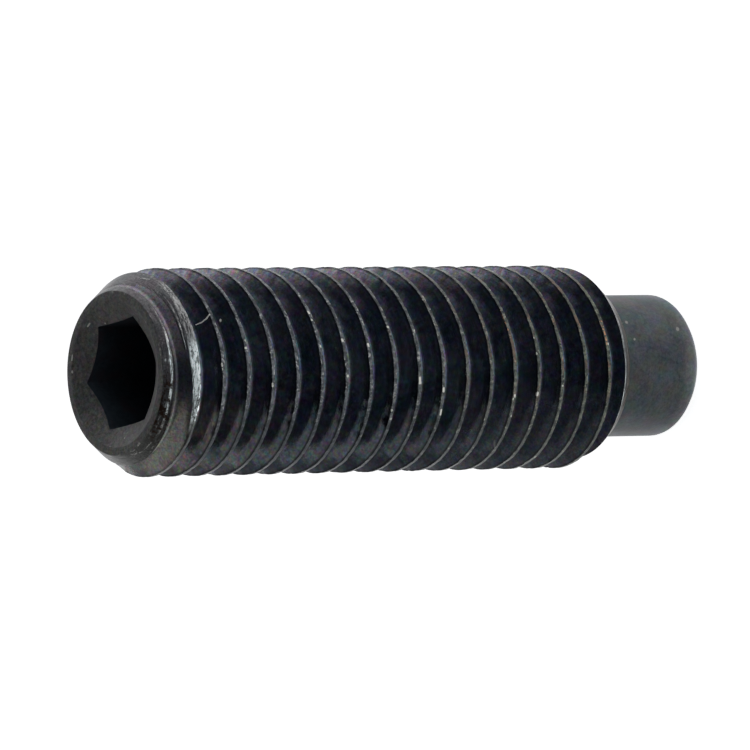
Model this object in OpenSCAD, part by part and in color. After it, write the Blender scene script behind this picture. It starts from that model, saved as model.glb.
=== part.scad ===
// Set screw with a hexagon socket and a long dog point, M12 x 1.75 x 40.
// It stands on its tip: the origin is the middle of the tip face, and +Z runs up the axis to the socket.

/* [Thread] */
// Outside diameter, over the crests
thread_d = 12; // [11:0.5:16]
// Distance along the axis from one crest to the next
thread_pitch = 1.75; // [1.25:0.25:2]
// Angle between the two flanks of the groove
flank_angle = 60; // [55:1:70]
// Direction in which the groove leaves the socket face, turned from +X
thread_start = 85; // [0:1:359]

/* [Body] */
// Length over all, from the tip to the socket face
screw_l = 40; // [25:1:60]
// Slope of the turned ends of the thread, measured from the axis
end_slope = 36; // [30:1:60]
// Width of the flat ring left round the countersink
face_land = 0.45; // [0.2:0.05:0.6]

/* [Dog point] */
// How far the turned end of the thread cuts in from the crests, down to the shoulder
end_bevel = 1; // [0.7:0.05:1.3]
// Width of the flat shoulder between that turned end and the point
shoulder_w = 0.8; // [0.5:0.05:1.5]
// Length of the plain point, from the shoulder to the tip
dog_l = 6.3; // [3:0.1:8]
// Width of the bevel round the tip
dog_bevel = 0.7; // [0.2:0.1:1.2]

/* [Socket] */
// Width of the hexagon across its flats
socket_af = 6; // [4:0.5:6.5]
// Depth of the flats below the face
socket_depth = 8; // [5:0.5:12]
// How far the countersink reaches past the hexagon's corners
countersink_over = 0.8; // [0.3:0.1:0.9]
// Included angle of the countersink
countersink_angle = 120; // [90:5:130]
// How much smaller the pilot hole is than the width across the flats
pilot_under = 0.2; // [0.1:0.1:1]
// Included angle of the cone that the drill leaves
pilot_angle = 120; // [90:5:140]

/* [Hidden] */
$fn = 96;

// The thread has ISO metric proportions: of the sharp V's depth, an eighth is missing at the crest
// and a sixth at the root.
v_depth = thread_pitch / 2 / tan(flank_angle / 2);
crest_r = thread_d / 2;
root_r = crest_r - v_depth * (1 - 1/8 - 1/6);
root_w = thread_pitch / 6;
crest_w = thread_pitch / 8;

// The cutter's section reaches a little past the crests, so they stay as the lathe left them.
cutter_over = 0.06 * thread_pitch;
cutter_r = crest_r + cutter_over;
cutter_w = thread_pitch - crest_w + 2 * cutter_over * tan(flank_angle / 2);
steps_per_turn = 36;

// Socket, and the face round it
corner_r = socket_af / 2 / cos(30);
countersink_r = corner_r + countersink_over;
face_r = countersink_r + face_land;
pilot_r = (socket_af - pilot_under) / 2;
above_face = 1;

// Point, set in from the crests
shoulder_r = crest_r - end_bevel;
dog_r = shoulder_r - shoulder_w;

// Heights above the tip
shoulder_z = dog_l;
thread_end_z = shoulder_z + end_bevel / tan(end_slope);
thread_head_z = screw_l - (crest_r - face_r) / tan(end_slope);
socket_floor_z = screw_l - socket_depth;

// Half of the section of the turned blank, from the tip up to the socket face.
module blank() {
    rotate_extrude()
        polygon([
            [0, 0],
            [dog_r - dog_bevel, 0],
            [dog_r, dog_bevel],
            [dog_r, shoulder_z],
            [shoulder_r, shoulder_z],
            [crest_r, thread_end_z],
            [crest_r, thread_head_z],
            [face_r, screw_l],
            [0, screw_l],
        ]);
}

// The right-hand groove that the threading tool takes out of the blank. Its section is swept along
// the helix from below the shoulder to above the socket face, so it runs out through both ends.
// Turns are counted from where its middle crosses the plane of the socket face.
module thread_groove() {
    section = [
        [root_r, -root_w / 2],
        [cutter_r, -cutter_w / 2],
        [cutter_r, cutter_w / 2],
        [root_r, root_w / 2],
    ];
    corners = len(section);
    first_turn = floor((shoulder_z - screw_l) / thread_pitch) - 0.5;
    last_turn = 0.5;
    steps = (last_turn - first_turn) * steps_per_turn;

    function turn_at(step) = first_turn + step / steps_per_turn;
    function placed(corner, turn) = let (direction = thread_start + 360 * turn) [
        corner.x * cos(direction),
        corner.x * sin(direction),
        corner.y + screw_l + thread_pitch * turn,
    ];
    function index(step, c) = step * corners + c % corners;

    points = [for (step = [0:steps], corner = section) placed(corner, turn_at(step))];
    sides = [
        for (step = [0:steps - 1], c = [0:corners - 1])
            each [
                [index(step, c), index(step, c + 1), index(step + 1, c + 1)],
                [index(step, c), index(step + 1, c + 1), index(step + 1, c)],
            ]
    ];
    first_end = [for (c = [corners - 1:-1:0]) index(0, c)];
    last_end = [for (c = [0:corners - 1]) index(steps, c)];
    polyhedron(points = points, faces = concat(sides, [first_end, last_end]));
}

// The hexagon, its countersunk mouth, and the pilot hole's cone below its floor.
module socket() {
    countersink_depth = countersink_r / tan(countersink_angle / 2);
    pilot_cone = pilot_r / tan(pilot_angle / 2);
    translate([0, 0, socket_floor_z])
        linear_extrude(socket_depth + above_face)
            circle(r = corner_r, $fn = 6);
    rotate_extrude()
        polygon([
            [0, socket_floor_z - pilot_cone],
            [pilot_r, socket_floor_z],
            [pilot_r, socket_floor_z + above_face],
            [0, socket_floor_z + above_face],
        ]);
    rotate_extrude()
        polygon([
            [0, screw_l - countersink_depth],
            [countersink_r, screw_l],
            [countersink_r, screw_l + above_face],
            [0, screw_l + above_face],
        ]);
}

module set_screw() {
    color("#35353a")
        difference() {
            blank();
            thread_groove();
            socket();
        }
}

set_screw();
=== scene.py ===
"""Looks of a black-oxide set screw with a hexagon socket and a long dog point.

The screw is modelled the way it is made: a blank is turned, a helical groove is cut in it, the
hexagon is punched into its end, and the crests are then worn.
"""

import math

import bpy
from mathutils import Matrix, Vector, noise


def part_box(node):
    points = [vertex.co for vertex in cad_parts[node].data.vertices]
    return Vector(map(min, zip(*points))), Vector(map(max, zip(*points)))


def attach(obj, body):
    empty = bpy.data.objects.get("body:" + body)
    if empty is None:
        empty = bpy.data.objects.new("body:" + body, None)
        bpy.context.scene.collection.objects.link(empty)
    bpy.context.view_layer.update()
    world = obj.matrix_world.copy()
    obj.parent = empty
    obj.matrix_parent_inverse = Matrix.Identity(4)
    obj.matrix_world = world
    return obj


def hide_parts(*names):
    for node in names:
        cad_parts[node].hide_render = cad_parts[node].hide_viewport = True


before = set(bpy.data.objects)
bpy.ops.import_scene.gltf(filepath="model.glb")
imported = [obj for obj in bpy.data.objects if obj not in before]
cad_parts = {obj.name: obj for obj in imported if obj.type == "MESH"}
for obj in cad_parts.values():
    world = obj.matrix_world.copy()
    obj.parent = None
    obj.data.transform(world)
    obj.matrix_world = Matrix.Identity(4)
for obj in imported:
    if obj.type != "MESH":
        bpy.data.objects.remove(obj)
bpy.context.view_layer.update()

MM = 0.001

# Sizes of the screw in millimetres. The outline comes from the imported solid, the rest is as in it.
low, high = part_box("set_screw")
SCREW_L = high.z / MM
CREST_R = high.x / MM
PITCH = 1.75
FLANK = math.radians(30)
THREAD_START = 85.0
SHARP_DEPTH = PITCH / 2 / math.tan(FLANK)
ROOT_R = CREST_R - SHARP_DEPTH * (1 - 1 / 8 - 1 / 6)
END_SLOPE = math.radians(36)
FACE_LAND = 0.45
DOG_L = 6.3
END_BEVEL = 1.0
SHOULDER_W = 0.8
DOG_BEVEL = 0.7
SHOULDER_R = CREST_R - END_BEVEL
DOG_R = SHOULDER_R - SHOULDER_W
SOCKET_AF = 6.0
SOCKET_DEPTH = 8.0
COUNTERSINK_OVER = 0.8
PILOT_UNDER = 0.2
CORNER_R = SOCKET_AF / 2 / math.cos(math.radians(30))
COUNTERSINK_R = CORNER_R + COUNTERSINK_OVER
FACE_R = COUNTERSINK_R + FACE_LAND
PILOT_R = (SOCKET_AF - PILOT_UNDER) / 2
THREAD_HEAD_Z = SCREW_L - (CREST_R - FACE_R) / math.tan(END_SLOPE)
THREAD_END_Z = DOG_L + END_BEVEL / math.tan(END_SLOPE)

# Half of the included angle of the countersink and of the drill's cone
CONE_HALF_ANGLE = math.radians(60)

STEPS_ROUND = 180

# Vertices nearer than this, in metres, are merged.
MERGE_DISTANCE = 1e-7


def deselect_all():
    bpy.ops.object.select_all(action="DESELECT")


def only(obj):
    deselect_all()
    obj.select_set(True)
    bpy.context.view_layer.objects.active = obj


def draw_chain(name, points, closed=False):
    """A chain of edges in the XZ plane through (radius, height) points in mm, extruded vertex by vertex."""
    deselect_all()
    bpy.context.tool_settings.mesh_select_mode = (True, False, False)
    bpy.ops.mesh.primitive_plane_add(size=MM, location=(0, 0, 0))
    obj = bpy.context.object
    obj.name = name
    bpy.ops.object.mode_set(mode="EDIT")
    bpy.ops.mesh.select_all(action="SELECT")
    bpy.ops.mesh.merge(type="CENTER")
    stops = [Vector((r * MM, 0, z * MM)) for r, z in points]
    bpy.ops.transform.translate(value=stops[0])
    for here, there in zip(stops, stops[1:] + stops[:1] * closed):
        bpy.ops.mesh.extrude_region_move(TRANSFORM_OT_translate={"value": there - here})
    if closed:
        bpy.ops.mesh.select_all(action="SELECT")
        bpy.ops.mesh.remove_doubles(threshold=MERGE_DISTANCE)
    bpy.ops.object.mode_set(mode="OBJECT")
    return obj


def rounded(corners, segments=4):
    """Points of an outline whose corners, given as (radius, height, rounding), are turned into arcs."""
    points = [corners[0][:2]]
    for before, corner, after in zip(corners, corners[1:], corners[2:]):
        here = Vector(corner[:2])
        if not corner[2]:
            points.append(tuple(here))
            continue
        back = (Vector(before[:2]) - here).normalized()
        ahead = (Vector(after[:2]) - here).normalized()
        half = back.angle(ahead) / 2
        start = here + back * corner[2] / math.tan(half)
        end = here + ahead * corner[2] / math.tan(half)
        for i in range(segments + 1):
            t = i / segments
            points.append(tuple(start.lerp(here, t).lerp(here.lerp(end, t), t)))
    points.append(corners[-1][:2])
    return points


def spin_round(obj, steps):
    only(obj)
    bpy.ops.object.mode_set(mode="EDIT")
    bpy.ops.mesh.select_all(action="SELECT")
    bpy.ops.mesh.spin(steps=steps, angle=math.tau, center=(0, 0, 0), axis=(0, 0, 1))
    bpy.ops.mesh.select_all(action="SELECT")
    bpy.ops.mesh.remove_doubles(threshold=MERGE_DISTANCE)
    bpy.ops.mesh.normals_make_consistent(inside=False)
    bpy.ops.object.mode_set(mode="OBJECT")


def turned_blank():
    """The screw before threading, with its edges a little broken."""
    countersink_depth = COUNTERSINK_R / math.tan(CONE_HALF_ANGLE)

    # Radius, height and rounding of each corner, from the tip up to the socket end
    outline = rounded([
        (0, 0, 0),
        (DOG_R - DOG_BEVEL, 0, 0.5),
        (DOG_R, DOG_BEVEL, 0.7),
        (DOG_R, DOG_L, 0.15),
        (SHOULDER_R, DOG_L, 0.06),
        (CREST_R, THREAD_END_Z, 0.1),
        (CREST_R, THREAD_HEAD_Z, 0.1),
        (FACE_R, SCREW_L, 0.1),
        (COUNTERSINK_R, SCREW_L, 0.05),
        (0, SCREW_L - countersink_depth, 0),
    ])
    blank = draw_chain("set_screw_finish", outline)
    spin_round(blank, STEPS_ROUND)
    return blank


def thread_cutter():
    """The groove as a solid: its section, with a rounded root and eased crest edges, on a helix."""
    over = 0.1
    root_half_width = PITCH / 12

    def half_width(r):
        return root_half_width + (r - ROOT_R) * math.tan(FLANK)

    # Half of the section as (radius, half width): the root's rounding, the flank, the eased edge
    half = [
        (ROOT_R + 0.015, 0.09),
        (ROOT_R + 0.06, 0.155),
        (ROOT_R + 0.13, half_width(ROOT_R + 0.13)),
        (ROOT_R + 0.5, half_width(ROOT_R + 0.5)),
        (CREST_R - 0.07, half_width(CREST_R - 0.07)),
        (CREST_R - 0.02, half_width(CREST_R - 0.02) + 0.01),
        (CREST_R + over, half_width(CREST_R) + 0.05),
    ]
    turns_below = math.ceil((SCREW_L - DOG_L) / PITCH)
    start = SCREW_L - PITCH * (THREAD_START / 360 + turns_below)
    lower = [(r, start - w) for r, w in reversed(half)]
    upper = [(r, start + w) for r, w in half]
    section = lower + [(ROOT_R, start)] + upper
    cutter = draw_chain("thread_cutter", section, closed=True)
    helix = cutter.modifiers.new("helix", "SCREW")
    helix.screw_offset = PITCH * MM
    helix.iterations = turns_below + 1
    helix.steps = helix.render_steps = STEPS_ROUND
    only(cutter)
    bpy.ops.object.modifier_apply(modifier=helix.name)
    bpy.ops.object.mode_set(mode="EDIT")
    bpy.ops.mesh.select_mode(type="EDGE")
    bpy.ops.mesh.select_all(action="DESELECT")
    bpy.ops.mesh.select_non_manifold()
    bpy.ops.mesh.fill()
    bpy.ops.mesh.select_all(action="SELECT")
    bpy.ops.mesh.normals_make_consistent(inside=False)
    bpy.ops.object.mode_set(mode="OBJECT")
    return cutter


def hexagon_punch():
    """The hexagon's solid, corners towards +X and -X, its edges eased as a punch leaves them."""
    reach = 1.0
    deselect_all()
    bpy.ops.mesh.primitive_cylinder_add(
        vertices=6,
        radius=CORNER_R * MM,
        depth=(SOCKET_DEPTH + reach) * MM,
        location=(0, 0, (SCREW_L + (reach - SOCKET_DEPTH) / 2) * MM),
        rotation=(0, 0, math.radians(30)),
    )
    punch = bpy.context.object
    punch.name = "hexagon_punch"
    bpy.ops.object.transform_apply(location=True, rotation=True, scale=True)
    easing = punch.modifiers.new("easing", "BEVEL")
    easing.width = 0.08 * MM
    easing.segments = 3
    easing.limit_method = "ANGLE"
    easing.angle_limit = math.radians(50)
    bpy.ops.object.modifier_apply(modifier=easing.name)
    return punch


def pilot_drill():
    """The cone that the drill leaves below the hexagon's floor."""
    depth = PILOT_R / math.tan(CONE_HALF_ANGLE)
    floor = SCREW_L - SOCKET_DEPTH
    above = 0.5
    outline = [(0, floor - depth), (PILOT_R, floor), (PILOT_R, floor + above), (0, floor + above)]
    drill = draw_chain("pilot_drill", outline)
    spin_round(drill, STEPS_ROUND // 3)
    return drill


def cut(obj, tool):
    taken = obj.modifiers.new("cut", "BOOLEAN")
    taken.operation = "DIFFERENCE"
    taken.solver = "MANIFOLD"
    taken.object = tool
    only(obj)
    bpy.ops.object.modifier_apply(modifier=taken.name)
    bpy.data.objects.remove(tool)


def wear_crests(obj):
    """Small dents along the crests, and crests that wander a little along the axis."""
    reach = 0.2
    depth = 0.05
    for vert in obj.data.vertices:
        place = vert.co / MM
        r = math.hypot(place.x, place.y)
        if r < CREST_R - reach or place.z < DOG_L:
            continue
        share = min(1.0, (r - CREST_R + reach) / reach)
        coarse = noise.noise(place * 0.9)
        fine = noise.noise(place * 3.1 + Vector((7.3, 1.9, 4.7)))
        move = -depth * share * max(0.0, 0.6 * coarse + fine)
        shift = depth * share * noise.noise(place * 3.7 + Vector((3.1, 8.2, 0.4)))
        vert.co += Vector((place.x / r * move, place.y / r * move, shift)) * MM


ZONES = ["black_oxide_thread", "turned_chamfer", "machined_end_face", "punched_socket", "satin_point"]


def zone_of(face):
    """Which finish a face has, from where it is and which way it looks."""
    place = face.center / MM
    r = math.hypot(place.x, place.y)
    near = 0.04
    countersink_reach = 1.2
    looks_up = face.normal.z > 0.7
    on_head_chamfer = abs(r - FACE_R - (SCREW_L - place.z) * math.tan(END_SLOPE)) < near
    on_end_chamfer = abs(r - SHOULDER_R - (place.z - DOG_L) * math.tan(END_SLOPE)) < near
    outward = face.normal.x * place.x + face.normal.y * place.y > 0
    if place.z < DOG_L + 0.01:
        return "satin_point"
    if r < COUNTERSINK_R and looks_up and place.z > SCREW_L - countersink_reach:
        return "machined_end_face"
    if place.z > SCREW_L - 0.03 and r < FACE_R + near:
        return "machined_end_face"
    if r < CORNER_R + near:
        return "punched_socket"
    if outward and (on_head_chamfer or on_end_chamfer):
        return "turned_chamfer"
    return "black_oxide_thread"


def make_screw():
    screw = turned_blank()
    cut(screw, thread_cutter())
    cut(screw, hexagon_punch())
    cut(screw, pilot_drill())
    screw.data.materials.clear()
    for name in ZONES:
        screw.data.materials.append(MATERIALS[name]())
    for face in screw.data.polygons:
        face.material_index = ZONES.index(zone_of(face))
    wear_crests(screw)
    only(screw)
    bpy.ops.object.shade_smooth_by_angle(angle=math.radians(32))
    return screw


def add_node(tree, kind, inputs=None, **options):
    """Adds a shader node, sets its options, and fills or links its input sockets."""
    node = tree.nodes.new(kind)
    for name, value in options.items():
        setattr(node, name, value)
    for name, value in (inputs or {}).items():
        if isinstance(value, bpy.types.NodeSocket):
            tree.links.new(value, node.inputs[name])
        else:
            node.inputs[name].default_value = value
    return node


def calc(tree, operation, *values, clamp=False):
    """One step of arithmetic on numbers or sockets."""
    inputs = dict(enumerate(values))
    return add_node(tree, "ShaderNodeMath", inputs, operation=operation, use_clamp=clamp).outputs[0]


def overlap(tree, *masks):
    """Where all of the masks are set: their product."""
    result = masks[0]
    for mask in masks[1:]:
        result = calc(tree, "MULTIPLY", result, mask)
    return result


def union(tree, *masks):
    """Where any of the masks is set: the highest of them."""
    result = masks[0]
    for mask in masks[1:]:
        result = calc(tree, "MAXIMUM", result, mask)
    return result


def vector_calc(tree, operation, first, second=(0, 0, 0)):
    key = "Scale" if operation == "SCALE" else 1
    node = add_node(tree, "ShaderNodeVectorMath", {0: first, key: second}, operation=operation)
    return node.outputs["Value" if operation in ("LENGTH", "DISTANCE", "DOT_PRODUCT") else "Vector"]


def step(tree, value, start, end):
    """A smooth step of a value: 0 up to start, 1 from end on."""
    inputs = {"Value": value, "From Min": start, "From Max": end}
    return add_node(tree, "ShaderNodeMapRange", inputs, interpolation_type="SMOOTHSTEP").outputs["Result"]


def blend(tree, share, first, second):
    """A colour between two colours."""
    inputs = {0: share, 6: first, 7: second}
    return add_node(tree, "ShaderNodeMix", inputs, data_type="RGBA").outputs[2]


def cloud(tree, where, scale, detail=2.0, roughness=0.5, distortion=0.0):
    """Soft noise from 0 to 1."""
    inputs = {
        "Vector": where,
        "Scale": scale,
        "Detail": detail,
        "Roughness": roughness,
        "Distortion": distortion,
    }
    return add_node(tree, "ShaderNodeTexNoise", inputs).outputs["Fac"]


def new_group(name, inputs, outputs):
    """An empty node group with named sockets. Defaults tell the sockets' types."""
    group = bpy.data.node_groups.new(name, "ShaderNodeTree")
    for key, default in inputs.items():
        kind = "NodeSocketFloat"
        if isinstance(default, tuple):
            kind = "NodeSocketColor" if len(default) == 4 else "NodeSocketVector"
        socket = group.interface.new_socket(key, in_out="INPUT", socket_type=kind)
        socket.default_value = default
    for key, kind in outputs.items():
        group.interface.new_socket(key, in_out="OUTPUT", socket_type=kind)
    return group, group.nodes.new("NodeGroupInput").outputs, group.nodes.new("NodeGroupOutput").inputs


def use(tree, group, inputs):
    return add_node(tree, "ShaderNodeGroup", inputs, node_tree=group).outputs


def places_group():
    """Where a point of the screw is: in mm, from the axis, and along and across the thread."""
    group, given, result = new_group(
        "screw_places",
        {"Position": (0.0, 0.0, 0.0)},
        {
            "Millimetres": "NodeSocketVector",
            "Radius": "NodeSocketFloat",
            "Height": "NodeSocketFloat",
            "From Crest": "NodeSocketFloat",
            "Unrolled": "NodeSocketVector",
            "Ring": "NodeSocketVector",
        },
    )
    place = vector_calc(group, "SCALE", given["Position"], 1 / MM)
    axes = add_node(group, "ShaderNodeSeparateXYZ", {"Vector": place}).outputs
    flat = vector_calc(group, "MULTIPLY", place, (1, 1, 0))
    radius = vector_calc(group, "LENGTH", flat)
    around = calc(group, "DIVIDE", calc(group, "ARCTAN2", axes["Y"], axes["X"]), math.tau)
    rise = calc(group, "DIVIDE", calc(group, "SUBTRACT", axes["Z"], SCREW_L), PITCH)
    turns = calc(group, "SUBTRACT", rise, calc(group, "SUBTRACT", around, THREAD_START / 360))
    across = calc(group, "FRACT", turns)
    from_crest = calc(group, "MULTIPLY", calc(group, "SUBTRACT", across, 0.5), PITCH)
    along = calc(group, "MULTIPLY", calc(group, "SUBTRACT", rise, across), math.tau * CREST_R)
    unrolled = {"X": along, "Y": from_crest, "Z": radius}
    unrolled = add_node(group, "ShaderNodeCombineXYZ", unrolled).outputs[0]

    # A pattern on these varies fast with the radius and slowly round the axis, like turning marks.
    unit = vector_calc(group, "NORMALIZE", flat)
    up_by_radius = add_node(group, "ShaderNodeCombineXYZ", {"Z": radius}).outputs[0]
    ring = vector_calc(group, "ADD", vector_calc(group, "SCALE", unit, 2.0), up_by_radius)
    links = group.links
    links.new(place, result["Millimetres"])
    links.new(radius, result["Radius"])
    links.new(axes["Z"], result["Height"])
    links.new(from_crest, result["From Crest"])
    links.new(unrolled, result["Unrolled"])
    links.new(ring, result["Ring"])
    return group


def patina_group():
    """The blotchy colour of black oxide: two shades, and a tint that shows in places."""
    group, given, result = new_group(
        "oxide_patina",
        {
            "Where": (0.0, 0.0, 0.0),
            "Dark": (0.03, 0.035, 0.045, 1.0),
            "Light": (0.07, 0.07, 0.08, 1.0),
            "Tint": (0.08, 0.05, 0.06, 1.0),
            "Tint Share": 0.5,
            "Scale": 1.0,
        },
        {"Color": "NodeSocketColor", "Cloud": "NodeSocketFloat"},
    )
    broad = cloud(group, given["Where"], calc(group, "MULTIPLY", given["Scale"], 0.35), 3.0, 0.6, 0.4)
    fine = cloud(group, given["Where"], calc(group, "MULTIPLY", given["Scale"], 2.6), 3.0, 0.7)
    mixed = calc(group, "MULTIPLY_ADD", fine, 0.45, calc(group, "MULTIPLY", broad, 0.55))
    shade = step(group, mixed, 0.36, 0.64)
    elsewhere = vector_calc(group, "ADD", given["Where"], (31.0, 17.0, 5.0))
    patches = cloud(group, elsewhere, calc(group, "MULTIPLY", given["Scale"], 0.5), 2.0, 0.6, 0.3)
    tinted = calc(group, "MULTIPLY", step(group, patches, 0.45, 0.65), given["Tint Share"])
    plain = blend(group, shade, given["Dark"], given["Light"])
    group.links.new(blend(group, tinted, plain, given["Tint"]), result["Color"])
    group.links.new(mixed, result["Cloud"])
    return group


def wear_group():
    """Breaks up a mask the way rubbed edges are: bright in places, thin or missing in others."""
    group, given, result = new_group(
        "edge_wear",
        {"Mask": 0.0, "Where": (0.0, 0.0, 0.0), "Scale": 2.0, "Share": 0.5},
        {"Mask": "NodeSocketFloat"},
    )
    broad = cloud(group, given["Where"], calc(group, "MULTIPLY", given["Scale"], 0.3), 2.0, 0.5)
    fine = cloud(group, given["Where"], given["Scale"], 3.0, 0.7)
    mixed = calc(group, "MULTIPLY_ADD", fine, 0.6, calc(group, "MULTIPLY", broad, 0.4))
    start = calc(group, "SUBTRACT", 0.75, calc(group, "MULTIPLY", given["Share"], 0.5))
    broken = step(group, mixed, start, calc(group, "ADD", start, 0.16))
    group.links.new(calc(group, "MULTIPLY", broken, given["Mask"]), result["Mask"])
    return group


def specks_group():
    """Scattered small specks, as of dust and of pin-head chips in the oxide."""
    group, given, result = new_group(
        "specks",
        {"Where": (0.0, 0.0, 0.0), "Scale": 2.0, "Size": 0.12, "Share": 0.2},
        {"Mask": "NodeSocketFloat"},
    )
    inputs = {"Vector": given["Where"], "Scale": given["Scale"], "Randomness": 1.0}
    cells = add_node(group, "ShaderNodeTexVoronoi", inputs).outputs
    dot = calc(group, "LESS_THAN", cells["Distance"], given["Size"])
    pick = add_node(group, "ShaderNodeSeparateColor", {"Color": cells["Color"]}).outputs[0]
    picked = calc(group, "LESS_THAN", pick, given["Share"])
    group.links.new(overlap(group, dot, picked), result["Mask"])
    return group


def scratch_group():
    """A mark along one straight stroke on the surface, with soft edges."""
    group, given, result = new_group(
        "scratch",
        {"Where": (0.0, 0.0, 0.0), "Start": (0.0, 0.0, 0.0), "End": (1.0, 0.0, 0.0), "Width": 0.05},
        {"Mask": "NodeSocketFloat"},
    )
    stroke = vector_calc(group, "SUBTRACT", given["End"], given["Start"])
    reach = vector_calc(group, "SUBTRACT", given["Where"], given["Start"])
    length = vector_calc(group, "DOT_PRODUCT", stroke, stroke)
    share = calc(group, "DIVIDE", vector_calc(group, "DOT_PRODUCT", reach, stroke), length, clamp=True)
    nearest = vector_calc(group, "SCALE", stroke, share)
    off = vector_calc(group, "DISTANCE", reach, nearest)
    core = calc(group, "MULTIPLY", given["Width"], 0.4)
    group.links.new(step(group, off, given["Width"], core), result["Mask"])
    return group


def side_group():
    """How far a point lies on one side of the screw: 1 on that side, 0 on the far side."""
    group, given, result = new_group(
        "one_side",
        {"Where": (0.0, 0.0, 0.0), "Toward": (1.0, 0.0, 0.0), "Start": -0.2, "End": 0.8},
        {"Mask": "NodeSocketFloat"},
    )
    flat = vector_calc(group, "MULTIPLY", given["Where"], (1, 1, 0))
    facing = vector_calc(group, "DOT_PRODUCT", vector_calc(group, "NORMALIZE", flat), given["Toward"])
    group.links.new(step(group, facing, given["Start"], given["End"]), result["Mask"])
    return group


PLACES = places_group()
PATINA = patina_group()
WEAR = wear_group()
SPECKS = specks_group()
SCRATCH = scratch_group()
ONE_SIDE = side_group()


def patina(tree, at, oxide):
    """The patina of one of the oxides below."""
    return use(tree, PATINA, {"Where": at["Millimetres"], **oxide})


def wear(tree, mask, where, scale, share):
    return use(tree, WEAR, {"Mask": mask, "Where": where, "Scale": scale, "Share": share})["Mask"]


def specks(tree, where, scale, size, share):
    return use(tree, SPECKS, {"Where": where, "Scale": scale, "Size": size, "Share": share})["Mask"]


def marks(tree, at, strokes):
    """All the strokes of a list as one mask."""
    mask = 0.0
    for start, end, width in strokes:
        inputs = {"Where": at["Millimetres"], "Start": start, "End": end, "Width": width}
        mask = union(tree, use(tree, SCRATCH, inputs)["Mask"], mask)
    return mask


def side(tree, at, where):
    """1 on one of the sides below, fading to 0 away from it."""
    degrees, start, end = where
    direction = (math.cos(math.radians(degrees)), math.sin(math.radians(degrees)), 0.0)
    inputs = {"Where": at["Millimetres"], "Toward": direction, "Start": start, "End": end}
    return use(tree, ONE_SIDE, inputs)["Mask"]


def band(tree, value, middle, half_width, fade):
    """1 within half_width of the middle of a band, fading to 0 outside it."""
    off = calc(tree, "ABSOLUTE", calc(tree, "SUBTRACT", value, middle))
    return step(tree, off, half_width + fade, half_width)


def shaded(tree, color, pattern, gain, least):
    """A colour times a value: the least where a pattern is 0, and higher by the gain where it is 1."""
    return vector_calc(tree, "SCALE", color, calc(tree, "MULTIPLY_ADD", pattern, gain, least))


def grainy(tree, color, where, scale, depth):
    """A colour that a fine grain makes lighter and darker."""
    grain = cloud(tree, where, scale, 3.0, 0.75)
    return shaded(tree, color, grain, 2 * depth, 1 - depth)


def iridescent(tree, color, where, scale, depth):
    """A colour whose red, green and blue wander a little from spot to spot, as thin oxide's do."""
    inputs = {"Vector": where, "Scale": scale, "Detail": 2.0, "Roughness": 0.7}
    hues = add_node(tree, "ShaderNodeTexNoise", inputs).outputs["Color"]
    shifts = vector_calc(tree, "SCALE", hues, 2 * depth)
    shifts = vector_calc(tree, "ADD", shifts, (1 - depth, 1 - depth, 1 - depth))
    return vector_calc(tree, "MULTIPLY", color, shifts)


def new_material(name):
    material = bpy.data.materials.new(name)
    material.use_nodes = True
    tree = material.node_tree
    tree.nodes.clear()
    position = add_node(tree, "ShaderNodeTexCoord").outputs["Object"]
    return material, tree, use(tree, PLACES, {"Position": position})


def finish_material(tree, color, roughness, height, depth, metallic=1.0):
    """The steel's shader: each finish is a metal with its own colour, gloss and relief, in mm deep."""
    bump = add_node(tree, "ShaderNodeBump", {"Height": height, "Strength": 1.0, "Distance": depth * MM})
    shader = add_node(tree, "ShaderNodeBsdfPrincipled", {
        "Base Color": color,
        "Metallic": metallic,
        "Roughness": roughness,
        "Normal": bump.outputs["Normal"],
    })
    output = add_node(tree, "ShaderNodeOutputMaterial")
    tree.links.new(shader.outputs["BSDF"], output.inputs["Surface"])


# Marks that the screw has, and painted glints, as strokes in mm: start, end and width.
THREAD_SCRATCHES = [
    ((4.06, -3.17, 37.38), (4.27, -3.39, 37.20), 0.05),
    ((4.27, -3.39, 37.20), (4.56, -3.54, 37.02), 0.06),
    ((4.56, -3.54, 37.02), (4.84, -3.57, 36.88), 0.07),
    ((4.24, -3.05, 35.62), (4.26, -3.00, 35.58), 0.1),
    ((0.60, -5.97, 13.87), (0.50, -5.98, 13.87), 0.12),
]
THREAD_BURRS = [
    ((-0.75, -5.35, 28.20), (-0.20, -5.90, 28.32), 0.12),
    ((-2.58, -5.20, 15.72), (-3.05, -5.10, 15.45), 0.1),
    ((-2.15, -4.95, 9.15), (-2.00, -5.35, 9.30), 0.22),
    ((3.05, -4.80, 14.32), (2.86, -5.10, 14.02), 0.06),
    ((2.86, -5.10, 14.02), (2.70, -5.22, 14.05), 0.06),
]
# Painted highlights: glints on the crests
CREST_GLINTS = [
    ((3.64, -4.77, 28.0), (3.58, -4.81, 27.97), 0.09),
    ((3.40, -4.94, 26.19), (3.32, -5.0, 26.15), 0.1),
    ((1.60, -5.79, 22.6), (1.30, -5.86, 22.57), 0.1),
    ((0.98, -5.92, 20.82), (0.80, -5.95, 20.8), 0.09),
    ((-0.35, -5.99, 20.7), (-0.62, -5.97, 20.67), 0.1),
    ((0.50, -5.98, 15.52), (0.42, -5.98, 15.5), 0.09),
    ((4.89, -3.48, 29.83), (4.83, -3.56, 29.81), 0.09),
    ((1.40, -5.83, 33.18), (1.26, -5.87, 33.16), 0.08),
    ((2.51, -5.45, 36.77), (2.40, -5.50, 36.75), 0.09),
]
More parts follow.
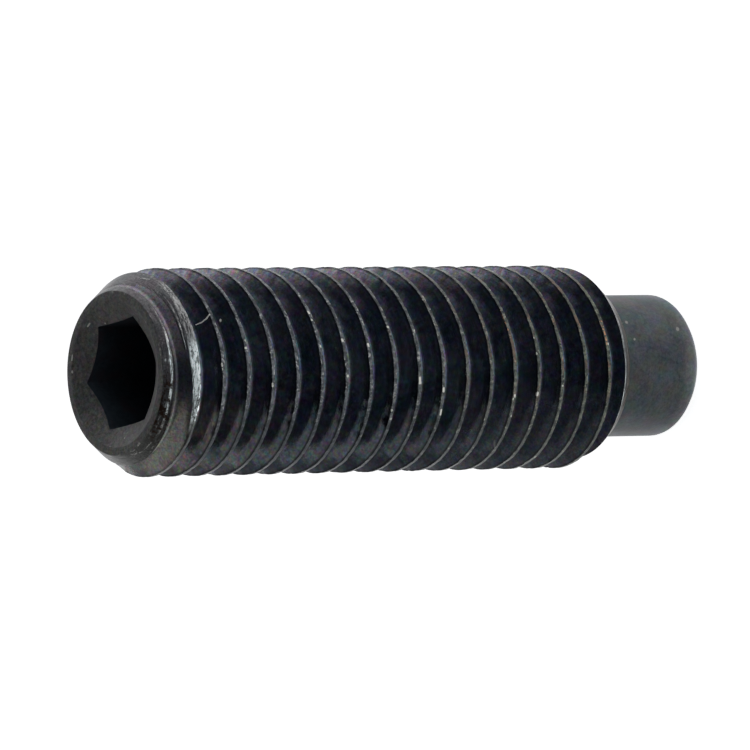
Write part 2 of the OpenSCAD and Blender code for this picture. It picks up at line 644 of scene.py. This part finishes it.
RUST_SPOTS = [
    ((5.24, -2.92, 17.92), (5.05, -3.24, 17.82), 0.09),
    ((4.96, -3.37, 15.92), (4.0, -4.48, 15.82), 0.06),
    ((5.39, -2.63, 9.25), (4.50, -3.97, 8.89), 0.06),
    ((4.32, -4.17, 8.75), (4.0, -4.43, 8.73), 0.13),
    ((4.0, -4.43, 8.73), (3.27, -5.03, 8.69), 0.08),
    ((5.35, -2.60, 16.95), (5.20, -2.20, 16.65), 0.28),
]
FACE_MARKS = [
    ((-0.47, 4.26, 40.0), (-0.75, 4.22, 40.0), 0.07),
    ((-1.41, 3.98, 39.97), (-1.36, 4.0, 39.97), 0.08),
    ((1.52, 3.62, 39.82), (1.75, 3.50, 39.80), 0.06),
]
POINT_SPECKS = [
    ((3.56, -2.24, 5.21), (3.58, -2.20, 5.18), 0.13),
    ((2.81, -3.12, 5.08), (2.83, -3.10, 5.05), 0.09),
    ((3.24, -2.67, 1.59), (3.28, -2.62, 1.55), 0.15),
]

# Sides of the screw: a level direction in degrees from +X, and the cosines of the angle off it
# between which the side fades in. The photo is taken from about -69.
# The top side carries painted light
TOP_LIT_SIDE = (20.6, 0.6, 0.97)
# The head groove's pale side carries painted light
HEAD_GROOVE_LIT_SIDE = (-15, 0.6, 0.97)
RUST_SIDE = (-35, 0.3, 0.9)
RUBBED_SIDE = (-50, 0.6, 0.9)
FACE_RUBBED_SIDE = (-68, 0.6, 0.93)
# Bare steel on the knocked side also gets a painted highlight
KNOCKED_HIGHLIT_SIDE = (-76, 0.85, 0.97)
# The point's shaded side carries painted shade
POINT_SHADED_SIDE = (-92, 0.3, 0.95)
CHIPPED_SIDE = (-96, 0.85, 0.97)
# The chamfer's low side carries painted shade
CHAMFER_SHADED_SIDE = (-140, 0.5, 0.95)
LOW_SIDE = (-140, 0.4, 0.9)
UNDER_SIDE = (-150, 0.3, 0.9)

# Heights in mm between which a mark comes in, some of them downwards
AGED_HEIGHTS = (30.0, 8.0)
DUSTY_HEIGHTS = (24.0, 13.0)
SHOULDER_HEIGHTS = (20.0, 10.0)
# Painted light at the point's bevel comes in between these heights
POINT_BEVEL_HIGHLIGHT_HEIGHTS = (1.9, 0.4)
SPARED_HEIGHTS = (14.0, 26.0)
GREYED_HEIGHTS = (31.0, 38.0)
HEAD_GROOVE_HEIGHTS = (THREAD_HEAD_Z - 0.4, THREAD_HEAD_Z + 0.5)

# Radii in mm between which a mark comes in, some of them inwards
CREST_RADII = (5.8, 5.9)
OILY_RADII = (5.8, 5.95)
SHOULDER_RADII = (5.45, 5.1)
PITTED_RADII = (5.5, 5.3)
RIM_RADII = (4.6, 4.85)
FACE_EDGE_RADII = (FACE_R - 0.2, FACE_R - 0.02)

# Bands as their middle, half width and fade, in mm: of height the first, of radius the others
FLECKED_BAND = (24, 5, 4)
WORN_BAND = (5.84, 0.13, 0.1)
THIN_RINGS = [(5.01, 0.02, 0.04), (5.2, 0.01, 0.03), (5.54, 0.01, 0.03)]

# The oxide of each surface, for the patina group
THREAD_OXIDE = {
    "Dark": (0.036, 0.052, 0.07, 1),
    "Light": (0.095, 0.105, 0.125, 1),
    "Tint": (0.085, 0.068, 0.09, 1),
    "Tint Share": 0.4,
    "Scale": 1.0,
}
CHAMFER_OXIDE = {
    "Dark": (0.05, 0.055, 0.06, 1),
    "Light": (0.1, 0.1, 0.1, 1),
    "Tint": (0.085, 0.07, 0.078, 1),
    "Tint Share": 0.6,
    "Scale": 1.6,
}
FACE_OXIDE = {
    "Dark": (0.055, 0.053, 0.052, 1),
    "Light": (0.09, 0.087, 0.084, 1),
    "Tint": (0.062, 0.07, 0.064, 1),
    "Tint Share": 0.5,
    "Scale": 1.4,
}
SOCKET_OXIDE = {
    "Dark": (0.035, 0.05, 0.065, 1),
    "Light": (0.06, 0.08, 0.1, 1),
    "Scale": 1.5,
}
POINT_OXIDE = {
    "Dark": (0.05, 0.064, 0.072, 1),
    "Light": (0.088, 0.098, 0.108, 1),
    "Tint": (0.085, 0.078, 0.068, 1),
    "Tint Share": 0.45,
    "Scale": 1.5,
}

# Painted light: how much red, green and blue the thread's oxide gains on two of its sides
TOP_PAINTED_LIGHT_GAIN = (2.1, 1.8, 1.7)
LOW_HEAD_PAINTED_LIGHT_GAIN = (1.6, 1.35, 1.15)

# Colours of the worn, rusty and marked places on the thread, and of its painted light, shade and glints
FLECK_GREY = (0.2, 0.21, 0.19, 1)
OILY_OXIDE = (0.022, 0.026, 0.03, 1)
THIN_OXIDE = (0.108, 0.116, 0.124, 1)
AGED_THIN_OXIDE = (0.103, 0.115, 0.09, 1)
RUSTY_THIN_OXIDE = (0.14, 0.1, 0.075, 1)
CREST_STEEL = (0.36, 0.37, 0.37, 1)
AGED_CREST_STEEL = (0.25, 0.26, 0.2, 1)
RUSTY_CREST_STEEL = (0.28, 0.17, 0.11, 1)
# Painted highlight on the worn crests
CREST_GLINT = (0.4, 0.42, 0.37, 1)
# Painted shade and painted light where the groove runs out by the socket end's slope
HEAD_GROOVE_PAINTED_SHADE = (0.016, 0.019, 0.024, 1)
HEAD_GROOVE_PAINTED_LIGHT = (0.16, 0.145, 0.16, 1)
HEAD_GROOVE_LOW_PAINTED_LIGHT = (0.17, 0.17, 0.155, 1)
BURR_GREY = (0.16, 0.17, 0.17, 1)
RUST = (0.5, 0.27, 0.16, 1)
# Grey of the scratches and of the crests' painted glints
SCRATCH_AND_GLINT_GREY = (0.55, 0.55, 0.5, 1)

# Colours of the worn and chipped places on the other surfaces, and of their painted light and shade
# Painted shade on the slope's low side
CHAMFER_LOW_PAINTED_SHADE = (0.05, 0.052, 0.049, 1)
CHAMFER_STEEL = (0.6, 0.6, 0.58, 1)
# Worn steel made near white: a painted highlight
KNOCKED_STEEL_PAINTED_HIGHLIGHT = (0.88, 1.0, 0.99, 1)
# Painted shade on the slope by the shoulder
SHOULDER_PAINTED_SHADE = (0.025, 0.022, 0.02, 1)
SHOULDER_CRUMB = (0.14, 0.115, 0.085, 1)
PIT_BROWN = (0.035, 0.02, 0.014, 1)
FACE_MARK_GREY = (0.4, 0.4, 0.37, 1)
# Painted shade on the shoulder's outer rim
RIM_PAINTED_SHADE = (0.03, 0.028, 0.028, 1)
RIM_CRUMB = (0.12, 0.105, 0.085, 1)
POINT_SPECK_GREY = (0.2, 0.2, 0.19, 1)

# Stretches a pattern along the thread, and along the rings that turning leaves
ALONG_THREAD = (0.12, 1.0, 1.0)
ALONG_RINGS = (0.3, 0.3, 1.0)
ALONG_SHORT_RINGS = (0.8, 0.8, 1.0)
ALONG_FACE_RINGS = (0.7, 0.7, 1.0)


def flank_color(tree, at, oxide, streaks):
    """The kept oxide: lighter on the top side and greyer low by the socket end, both painted light, and
    flecked low midway.
    """
    color = grainy(tree, oxide, at["Millimetres"], scale=7.0, depth=0.95)
    color = shaded(tree, color, streaks, gain=1.3, least=0.35)
    color = iridescent(tree, color, at["Millimetres"], scale=2.8, depth=0.9)
    # Painted light: the oxide on the top side is made lighter and warmer.
    lighter = vector_calc(tree, "MULTIPLY", color, TOP_PAINTED_LIGHT_GAIN)
    color = blend(tree, side(tree, at, TOP_LIT_SIDE), color, lighter)
    low = side(tree, at, LOW_SIDE)
    # Painted light: low by the socket end the oxide is made lighter and greyer.
    by_head = overlap(tree, low, step(tree, at["Height"], *GREYED_HEIGHTS))
    color = blend(tree, by_head, color, vector_calc(tree, "MULTIPLY", color, LOW_HEAD_PAINTED_LIGHT_GAIN))
    flecks = specks(tree, at["Millimetres"], scale=3.2, size=0.13, share=0.3)
    flecks = overlap(tree, flecks, low, band(tree, at["Height"], *FLECKED_BAND), 0.6)
    return blend(tree, flecks, color, FLECK_GREY)


def crest_masks(tree, at):
    """The crests, and where on them the oxide is oily, thinned or gone, and where painted glints shine."""
    wander = calc(tree, "MULTIPLY_ADD", cloud(tree, at["Unrolled"], 2.6, 4.0, 0.75), 0.3, -0.01)
    off_crest = calc(tree, "ABSOLUTE", at["From Crest"])
    crest = step(tree, off_crest, wander, calc(tree, "MULTIPLY", wander, 0.6))
    crest = overlap(tree, crest, step(tree, at["Radius"], *CREST_RADII))

    # The under side is rubbed less than the rest, and least of all by the socket end.
    spared = calc(tree, "MULTIPLY_ADD", step(tree, at["Height"], *SPARED_HEIGHTS), -0.45, -0.45)
    rubbed = calc(tree, "MULTIPLY_ADD", side(tree, at, UNDER_SIDE), spared, 1.0)
    fading = step(tree, cloud(tree, at["Unrolled"], 1.2, 4.0, 0.8), 0.36, 0.62)
    fading = overlap(tree, fading, rubbed)
    least = calc(tree, "MULTIPLY_ADD", rubbed, 0.18, 0.1)
    worn = overlap(tree, crest, rubbed)
    # Painted highlights: glints scattered over the worn crests
    glints = specks(tree, at["Unrolled"], scale=2.0, size=0.16, share=0.35)

    oily = overlap(tree, step(tree, at["Radius"], *OILY_RADII), step(tree, off_crest, 0.2, 0.14))
    return {
        "crest": crest,
        "oily": overlap(tree, oily, calc(tree, "MULTIPLY_ADD", fading, -0.4, 1.0)),
        "thin": overlap(tree, crest, calc(tree, "MULTIPLY_ADD", fading, 0.72, least)),
        "bare": wear(tree, worn, at["Unrolled"], scale=6.0, share=0.47),
        "glints": overlap(tree, glints, worn),
    }


def crest_colors(tree, at):
    """The thinned oxide and the bare steel of the crests, both aged and rusty towards the point."""
    aged = step(tree, at["Height"], *AGED_HEIGHTS)
    rust = step(tree, cloud(tree, at["Millimetres"], 1.1, 3.0, 0.7), 0.5, 0.38)
    rusty = overlap(tree, rust, aged, side(tree, at, RUST_SIDE))
    beads = step(tree, cloud(tree, at["Unrolled"], 3.4, 3.0, 0.75), 0.38, 0.62)
    thin_oxide = blend(tree, aged, THIN_OXIDE, AGED_THIN_OXIDE)
    thin_oxide = shaded(tree, thin_oxide, beads, gain=0.9, least=0.36)
    thin_oxide = blend(tree, rusty, thin_oxide, RUSTY_THIN_OXIDE)
    steel = blend(tree, aged, CREST_STEEL, AGED_CREST_STEEL)
    return thin_oxide, blend(tree, rusty, steel, RUSTY_CREST_STEEL)


def head_groove_painted_light_and_shade(tree, at):
    """Where the groove runs out by the socket end's slope: painted shade, dark in front, and painted light,
    pale on two sides.
    """
    color = blend(tree, side(tree, at, HEAD_GROOVE_LIT_SIDE), HEAD_GROOVE_PAINTED_SHADE, HEAD_GROOVE_PAINTED_LIGHT)
    color = blend(tree, side(tree, at, LOW_SIDE), color, HEAD_GROOVE_LOW_PAINTED_LIGHT)
    color = grainy(tree, color, at["Millimetres"], scale=7.0, depth=1.3)
    return iridescent(tree, color, at["Millimetres"], scale=2.8, depth=0.7)


def thread_material():
    """Black oxide on the flanks, worn thin along the crests, with bare and rusty spots there."""
    material, tree, at = new_material("black_oxide_thread")
    oxide = patina(tree, at, THREAD_OXIDE)
    streaks = cloud(tree, vector_calc(tree, "MULTIPLY", at["Unrolled"], ALONG_THREAD), 9.0, 3.0, 0.65)
    masks = crest_masks(tree, at)
    thin_oxide, steel = crest_colors(tree, at)
    by_head = step(tree, at["Height"], *HEAD_GROOVE_HEIGHTS)
    crumbs = step(tree, cloud(tree, at["Millimetres"], 5.0, 3.0, 0.7), 0.42, 0.6)
    scratches_and_glints = marks(tree, at, THREAD_SCRATCHES + CREST_GLINTS)

    color = flank_color(tree, at, oxide["Color"], streaks)
    color = blend(tree, masks["oily"], color, OILY_OXIDE)
    color = blend(tree, masks["thin"], color, thin_oxide)
    color = blend(tree, masks["bare"], color, steel)
    # Painted highlights: glints on the worn crests
    color = blend(tree, masks["glints"], color, CREST_GLINT)
    # Painted shade and light over most of the colour by the socket end's slope
    color = blend(tree, overlap(tree, by_head, 0.85), color, head_groove_painted_light_and_shade(tree, at))
    color = blend(tree, marks(tree, at, THREAD_BURRS), color, BURR_GREY)
    color = blend(tree, overlap(tree, marks(tree, at, RUST_SPOTS), crumbs), color, RUST)
    # Scratches, and the crests' painted glints in the same grey
    color = blend(tree, scratches_and_glints, color, SCRATCH_AND_GLINT_GREY)

    dusty = overlap(tree, side(tree, at, LOW_SIDE), step(tree, at["Height"], *DUSTY_HEIGHTS))
    dull = union(tree, scratches_and_glints, overlap(tree, by_head, 0.7), overlap(tree, dusty, 0.35))
    metallic = calc(tree, "MULTIPLY_ADD", dull, -0.8, 1.0)
    roughness = calc(tree, "MULTIPLY_ADD", oxide["Cloud"], 0.1, 0.03)
    roughness = calc(tree, "MULTIPLY_ADD", union(tree, dusty, masks["crest"]), 0.3, roughness)
    height = calc(tree, "MULTIPLY_ADD", streaks, 0.5, cloud(tree, at["Millimetres"], 14.0, 2.0, 0.6))
    finish_material(tree, color, roughness, height, depth=0.006, metallic=metallic)
    return material


def chamfer_steel_mask(tree, at, turned, knocked_highlit):
    """The bright steel of a turned slope, and all its bare steel with the faint streaks as well.

    The bright steel is a torn band by the crests and thin broken rings by the face.
    """
    chips = cloud(tree, at["Millimetres"], 6.0, 3.0, 0.7)
    scored = cloud(tree, vector_calc(tree, "MULTIPLY", at["Ring"], ALONG_SHORT_RINGS), 24.0, 3.0, 0.8)
    uneven = calc(tree, "MULTIPLY_ADD", chips, 0.5, turned)
    torn = calc(tree, "MULTIPLY_ADD", scored, 0.9, uneven)
    torn = calc(tree, "MULTIPLY_ADD", knocked_highlit, 0.06, torn)
    rubbed = union(tree, knocked_highlit, overlap(tree, side(tree, at, RUBBED_SIDE), 0.45))
    by_crest = band(tree, at["Radius"], *WORN_BAND)
    by_crest = overlap(tree, by_crest, rubbed, step(tree, torn, 1.06, 1.2))
    by_face = union(tree, *[band(tree, at["Radius"], *ring) for ring in THIN_RINGS])
    by_face = overlap(tree, by_face, side(tree, at, FACE_RUBBED_SIDE), step(tree, uneven, 0.55, 0.85))
    bright = union(tree, by_crest, by_face)
    streaky = step(tree, calc(tree, "MULTIPLY_ADD", chips, 0.25, turned), 0.7, 0.82)
    return bright, union(tree, bright, overlap(tree, streaky, 0.3))


def chamfer_material():
    """A turned slope: dark, with painted shade on its low side, thin arcs of bare steel, and a worn bright
    band by the crests with a painted highlight.
    """
    material, tree, at = new_material("turned_chamfer")
    oxide = patina(tree, at, CHAMFER_OXIDE)
    along_rings = vector_calc(tree, "MULTIPLY", at["Ring"], ALONG_RINGS)
    turned = cloud(tree, along_rings, 9.0, 3.0, 0.7)
    drawn = cloud(tree, along_rings, 13.0, 4.0, 0.8)
    knocked_highlit = side(tree, at, KNOCKED_HIGHLIT_SIDE)
    bright, bare = chamfer_steel_mask(tree, at, turned, knocked_highlit)
    # Painted highlight: bare steel on the side towards the camera is near white.
    steel = blend(tree, knocked_highlit, CHAMFER_STEEL, KNOCKED_STEEL_PAINTED_HIGHLIGHT)
    steel = shaded(tree, steel, step(tree, drawn, 0.42, 0.55), gain=1.15, least=0.25)
    by_shoulder = step(tree, at["Height"], *SHOULDER_HEIGHTS)
    by_shoulder = overlap(tree, by_shoulder, step(tree, at["Radius"], *SHOULDER_RADII))
    crumbs = step(tree, cloud(tree, at["Millimetres"], 2.6, 4.0, 0.8), 0.4, 0.62)
    pits = step(tree, cloud(tree, at["Millimetres"], 3.2, 3.0, 0.8), 0.5, 0.58)
    pits = overlap(tree, pits, side(tree, at, CHIPPED_SIDE), step(tree, at["Radius"], *PITTED_RADII))

    # Painted shade: the slope is made darker on its low side.
    low = overlap(tree, side(tree, at, CHAMFER_SHADED_SIDE), 0.8)
    color = blend(tree, low, oxide["Color"], CHAMFER_LOW_PAINTED_SHADE)
    color = grainy(tree, color, at["Millimetres"], scale=8.0, depth=1.3)
    color = blend(tree, bare, color, steel)
    # Painted shade on the slope by the shoulder, then crumbs of grit over it.
    color = blend(tree, by_shoulder, color, SHOULDER_PAINTED_SHADE)
    color = blend(tree, overlap(tree, by_shoulder, crumbs), color, SHOULDER_CRUMB)
    color = blend(tree, pits, color, PIT_BROWN)
    metallic = calc(tree, "MULTIPLY_ADD", bright, -0.55, 1.0)
    finish_material(tree, color, roughness=0.36, height=turned, depth=0.03, metallic=metallic)
    return material


# The end face looks half matt, as a machined face under thin oxide does.
FACE_METALLIC = 0.35


def face_material():
    """The machined end and its countersink: grey, with faint turning rings and a few specks."""
    material, tree, at = new_material("machined_end_face")
    oxide = patina(tree, at, FACE_OXIDE)
    turned = cloud(tree, vector_calc(tree, "MULTIPLY", at["Ring"], ALONG_FACE_RINGS), 8.0, 3.0, 0.6)
    rim = step(tree, at["Radius"], *FACE_EDGE_RADII)
    edge = wear(tree, rim, at["Millimetres"], scale=2.2, share=0.42)
    dots = specks(tree, at["Millimetres"], scale=2.4, size=0.12, share=0.1)
    bare = union(tree, edge, dots, marks(tree, at, FACE_MARKS))
    color = grainy(tree, oxide["Color"], at["Millimetres"], scale=6.0, depth=1.5)
    color = iridescent(tree, color, at["Millimetres"], scale=2.5, depth=0.6)
    color = shaded(tree, color, turned, gain=1.4, least=0.3)
    color = blend(tree, bare, color, FACE_MARK_GREY)
    finish_material(tree, color, roughness=0.55, height=turned, depth=0.015, metallic=FACE_METALLIC)
    return material


def socket_material():
    """The punched walls keep their oxide."""
    material, tree, at = new_material("punched_socket")
    oxide = patina(tree, at, SOCKET_OXIDE)
    finish_material(tree, oxide["Color"], roughness=0.6, height=oxide["Cloud"], depth=0.02)
    return material


def point_material():
    """The plain point and the shoulder: satin grey oxide, with painted shade on one side and a painted
    highlight at the bevel.
    """
    material, tree, at = new_material("satin_point")
    oxide = patina(tree, at, POINT_OXIDE)
    # Painted shade on one side of the point and painted light at its bevel.
    shade = calc(tree, "MULTIPLY_ADD", side(tree, at, POINT_SHADED_SIDE), -0.36, 1.0)
    shade = calc(tree, "MULTIPLY_ADD", step(tree, at["Height"], *POINT_BEVEL_HIGHLIGHT_HEIGHTS), 0.75, shade)
    color = grainy(tree, oxide["Color"], at["Millimetres"], scale=6.0, depth=0.6)
    color = iridescent(tree, color, at["Millimetres"], scale=1.3, depth=0.4)
    color = vector_calc(tree, "SCALE", color, shade)
    by_rim = step(tree, at["Radius"], *RIM_RADII)
    # Painted shade on the shoulder's outer rim, then crumbs of grit over it.
    color = blend(tree, by_rim, color, RIM_PAINTED_SHADE)
    crumbs = wear(tree, by_rim, at["Millimetres"], scale=2.6, share=0.5)
    color = blend(tree, crumbs, color, RIM_CRUMB)
    color = blend(tree, marks(tree, at, POINT_SPECKS), color, POINT_SPECK_GREY)
    grain = cloud(tree, at["Millimetres"], 9.0, 3.0, 0.7)
    finish_material(tree, color, roughness=0.5, height=grain, depth=0.01)
    return material


MATERIALS = {
    "black_oxide_thread": thread_material,
    "turned_chamfer": chamfer_material,
    "machined_end_face": face_material,
    "punched_socket": socket_material,
    "satin_point": point_material,
}


# The world: how high its walls reach and where its ceiling begins, as the sine of the elevation,
# and the level direction of its lighter side, which is up in the picture
WALL_TOP = 0.1
WALL_COLOR = (1.25, 1.25, 1.28, 1)
CEILING_EDGE = 0.76
CEILING_COLOR = (0.06, 0.066, 0.08, 1)
WINDOW_SIDE = (0.9363, 0.3513, 0.0)

# The soft box, seen from its target: angles from +X and from level, lengths in mm, power in watts
BOX_TARGET = Vector((0, 0, 44))
BOX_AZIMUTH = math.radians(168)
BOX_ELEVATION = math.radians(41)
BOX_DISTANCE = 52
BOX_SIZE = 57
BOX_POWER = 0.0057
BOX_COLOR = (1, 1, 0.94)

# The camera looks down on the screw from the socket's side and is turned on its side, so that the
# screw lies across the picture. Lengths are in mm.
VIEW_AZIMUTH = math.radians(20.57)
VIEW_ELEVATION = math.radians(37.03)
VIEW_ROLL = math.radians(0.86)
CAMERA_DISTANCE = 570.8
FOCAL_LENGTH = 469.0
AIM_RIGHT = -1.07
AIM_UP = -0.35


def floor_material():
    material = bpy.data.materials.new("pale_floor")
    material.use_nodes = True
    tree = material.node_tree
    tree.nodes.clear()
    shader = add_node(tree, "ShaderNodeBsdfPrincipled", {
        "Base Color": (0.9, 0.9, 0.9, 1),
        "Roughness": 0.9,
        "Specular IOR Level": 0.0,
        "Emission Color": (1, 1, 1, 1),
        "Emission Strength": 0.85,
    })
    output = add_node(tree, "ShaderNodeOutputMaterial")
    tree.links.new(shader.outputs["BSDF"], output.inputs["Surface"])
    return material


def studio_floor():
    deselect_all()
    bpy.ops.mesh.primitive_plane_add(size=4, location=(0, 0, 0))
    floor = bpy.context.object
    floor.name = "studio_floor"
    floor.data.materials.append(floor_material())


def studio_world():
    """A pale studio whose walls fade to a dark ceiling, lighter on the window's side."""
    world = bpy.data.worlds.new("studio")
    bpy.context.scene.world = world
    world.use_nodes = True
    tree = world.node_tree
    tree.nodes.clear()
    place = add_node(tree, "ShaderNodeTexCoord").outputs["Generated"]
    axes = add_node(tree, "ShaderNodeSeparateXYZ", {"Vector": place}).outputs
    ramp = add_node(tree, "ShaderNodeValToRGB", {"Fac": axes["Z"]})
    ramp.color_ramp.interpolation = "EASE"
    wall, ceiling = ramp.color_ramp.elements
    wall.position = WALL_TOP
    wall.color = WALL_COLOR
    ceiling.position = CEILING_EDGE
    ceiling.color = CEILING_COLOR
    by_window = step(tree, vector_calc(tree, "DOT_PRODUCT", place, WINDOW_SIDE), -0.6, 0.35)
    strength = calc(tree, "MULTIPLY_ADD", by_window, 1.0, 0.3)
    light = {"Color": ramp.outputs["Color"], "Strength": strength}
    background = add_node(tree, "ShaderNodeBackground", light)
    output = add_node(tree, "ShaderNodeOutputWorld")
    tree.links.new(background.outputs["Background"], output.inputs["Surface"])


def camera_axes():
    back = Vector((
        math.sin(VIEW_AZIMUTH) * math.cos(VIEW_ELEVATION),
        -math.cos(VIEW_AZIMUTH) * math.cos(VIEW_ELEVATION),
        math.sin(VIEW_ELEVATION),
    ))
    level_right = Vector((0, 0, 1)).cross(back).normalized()
    level_up = back.cross(level_right)
    turn = Matrix.Rotation(-VIEW_ROLL, 3, back)
    return turn @ -level_up, turn @ level_right, back


def studio_camera():
    right, up, back = camera_axes()
    aim = Vector((0, 0, SCREW_L / 2)) + right * AIM_RIGHT + up * AIM_UP
    data = bpy.data.cameras.new("camera")
    data.sensor_width = 36.0
    data.lens = FOCAL_LENGTH
    data.clip_start = 0.01
    data.clip_end = 20.0
    camera = bpy.data.objects.new("camera", data)
    bpy.context.scene.collection.objects.link(camera)
    placed = Matrix((right, up, back)).transposed().to_4x4()
    placed.translation = (aim + back * CAMERA_DISTANCE) * MM
    camera.matrix_world = placed
    bpy.context.scene.camera = camera


def studio_light():
    """A square soft box low on the side, which greys the lower flanks."""
    level = math.cos(BOX_ELEVATION)
    outward = Vector((
        math.cos(BOX_AZIMUTH) * level,
        math.sin(BOX_AZIMUTH) * level,
        math.sin(BOX_ELEVATION),
    ))
    data = bpy.data.lights.new("low_side_box", "AREA")
    data.shape = "SQUARE"
    data.size = BOX_SIZE * MM
    data.energy = BOX_POWER
    data.color = BOX_COLOR
    light = bpy.data.objects.new("low_side_box", data)
    bpy.context.scene.collection.objects.link(light)
    light.location = (BOX_TARGET + outward * BOX_DISTANCE) * MM
    light.rotation_euler = outward.to_track_quat("Z", "Y").to_euler()


studio_camera()
studio_world()
studio_floor()
studio_light()

screw = make_screw()
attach(screw, "root")
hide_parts("set_screw")

bpy.context.scene.view_settings.view_transform = "Standard"
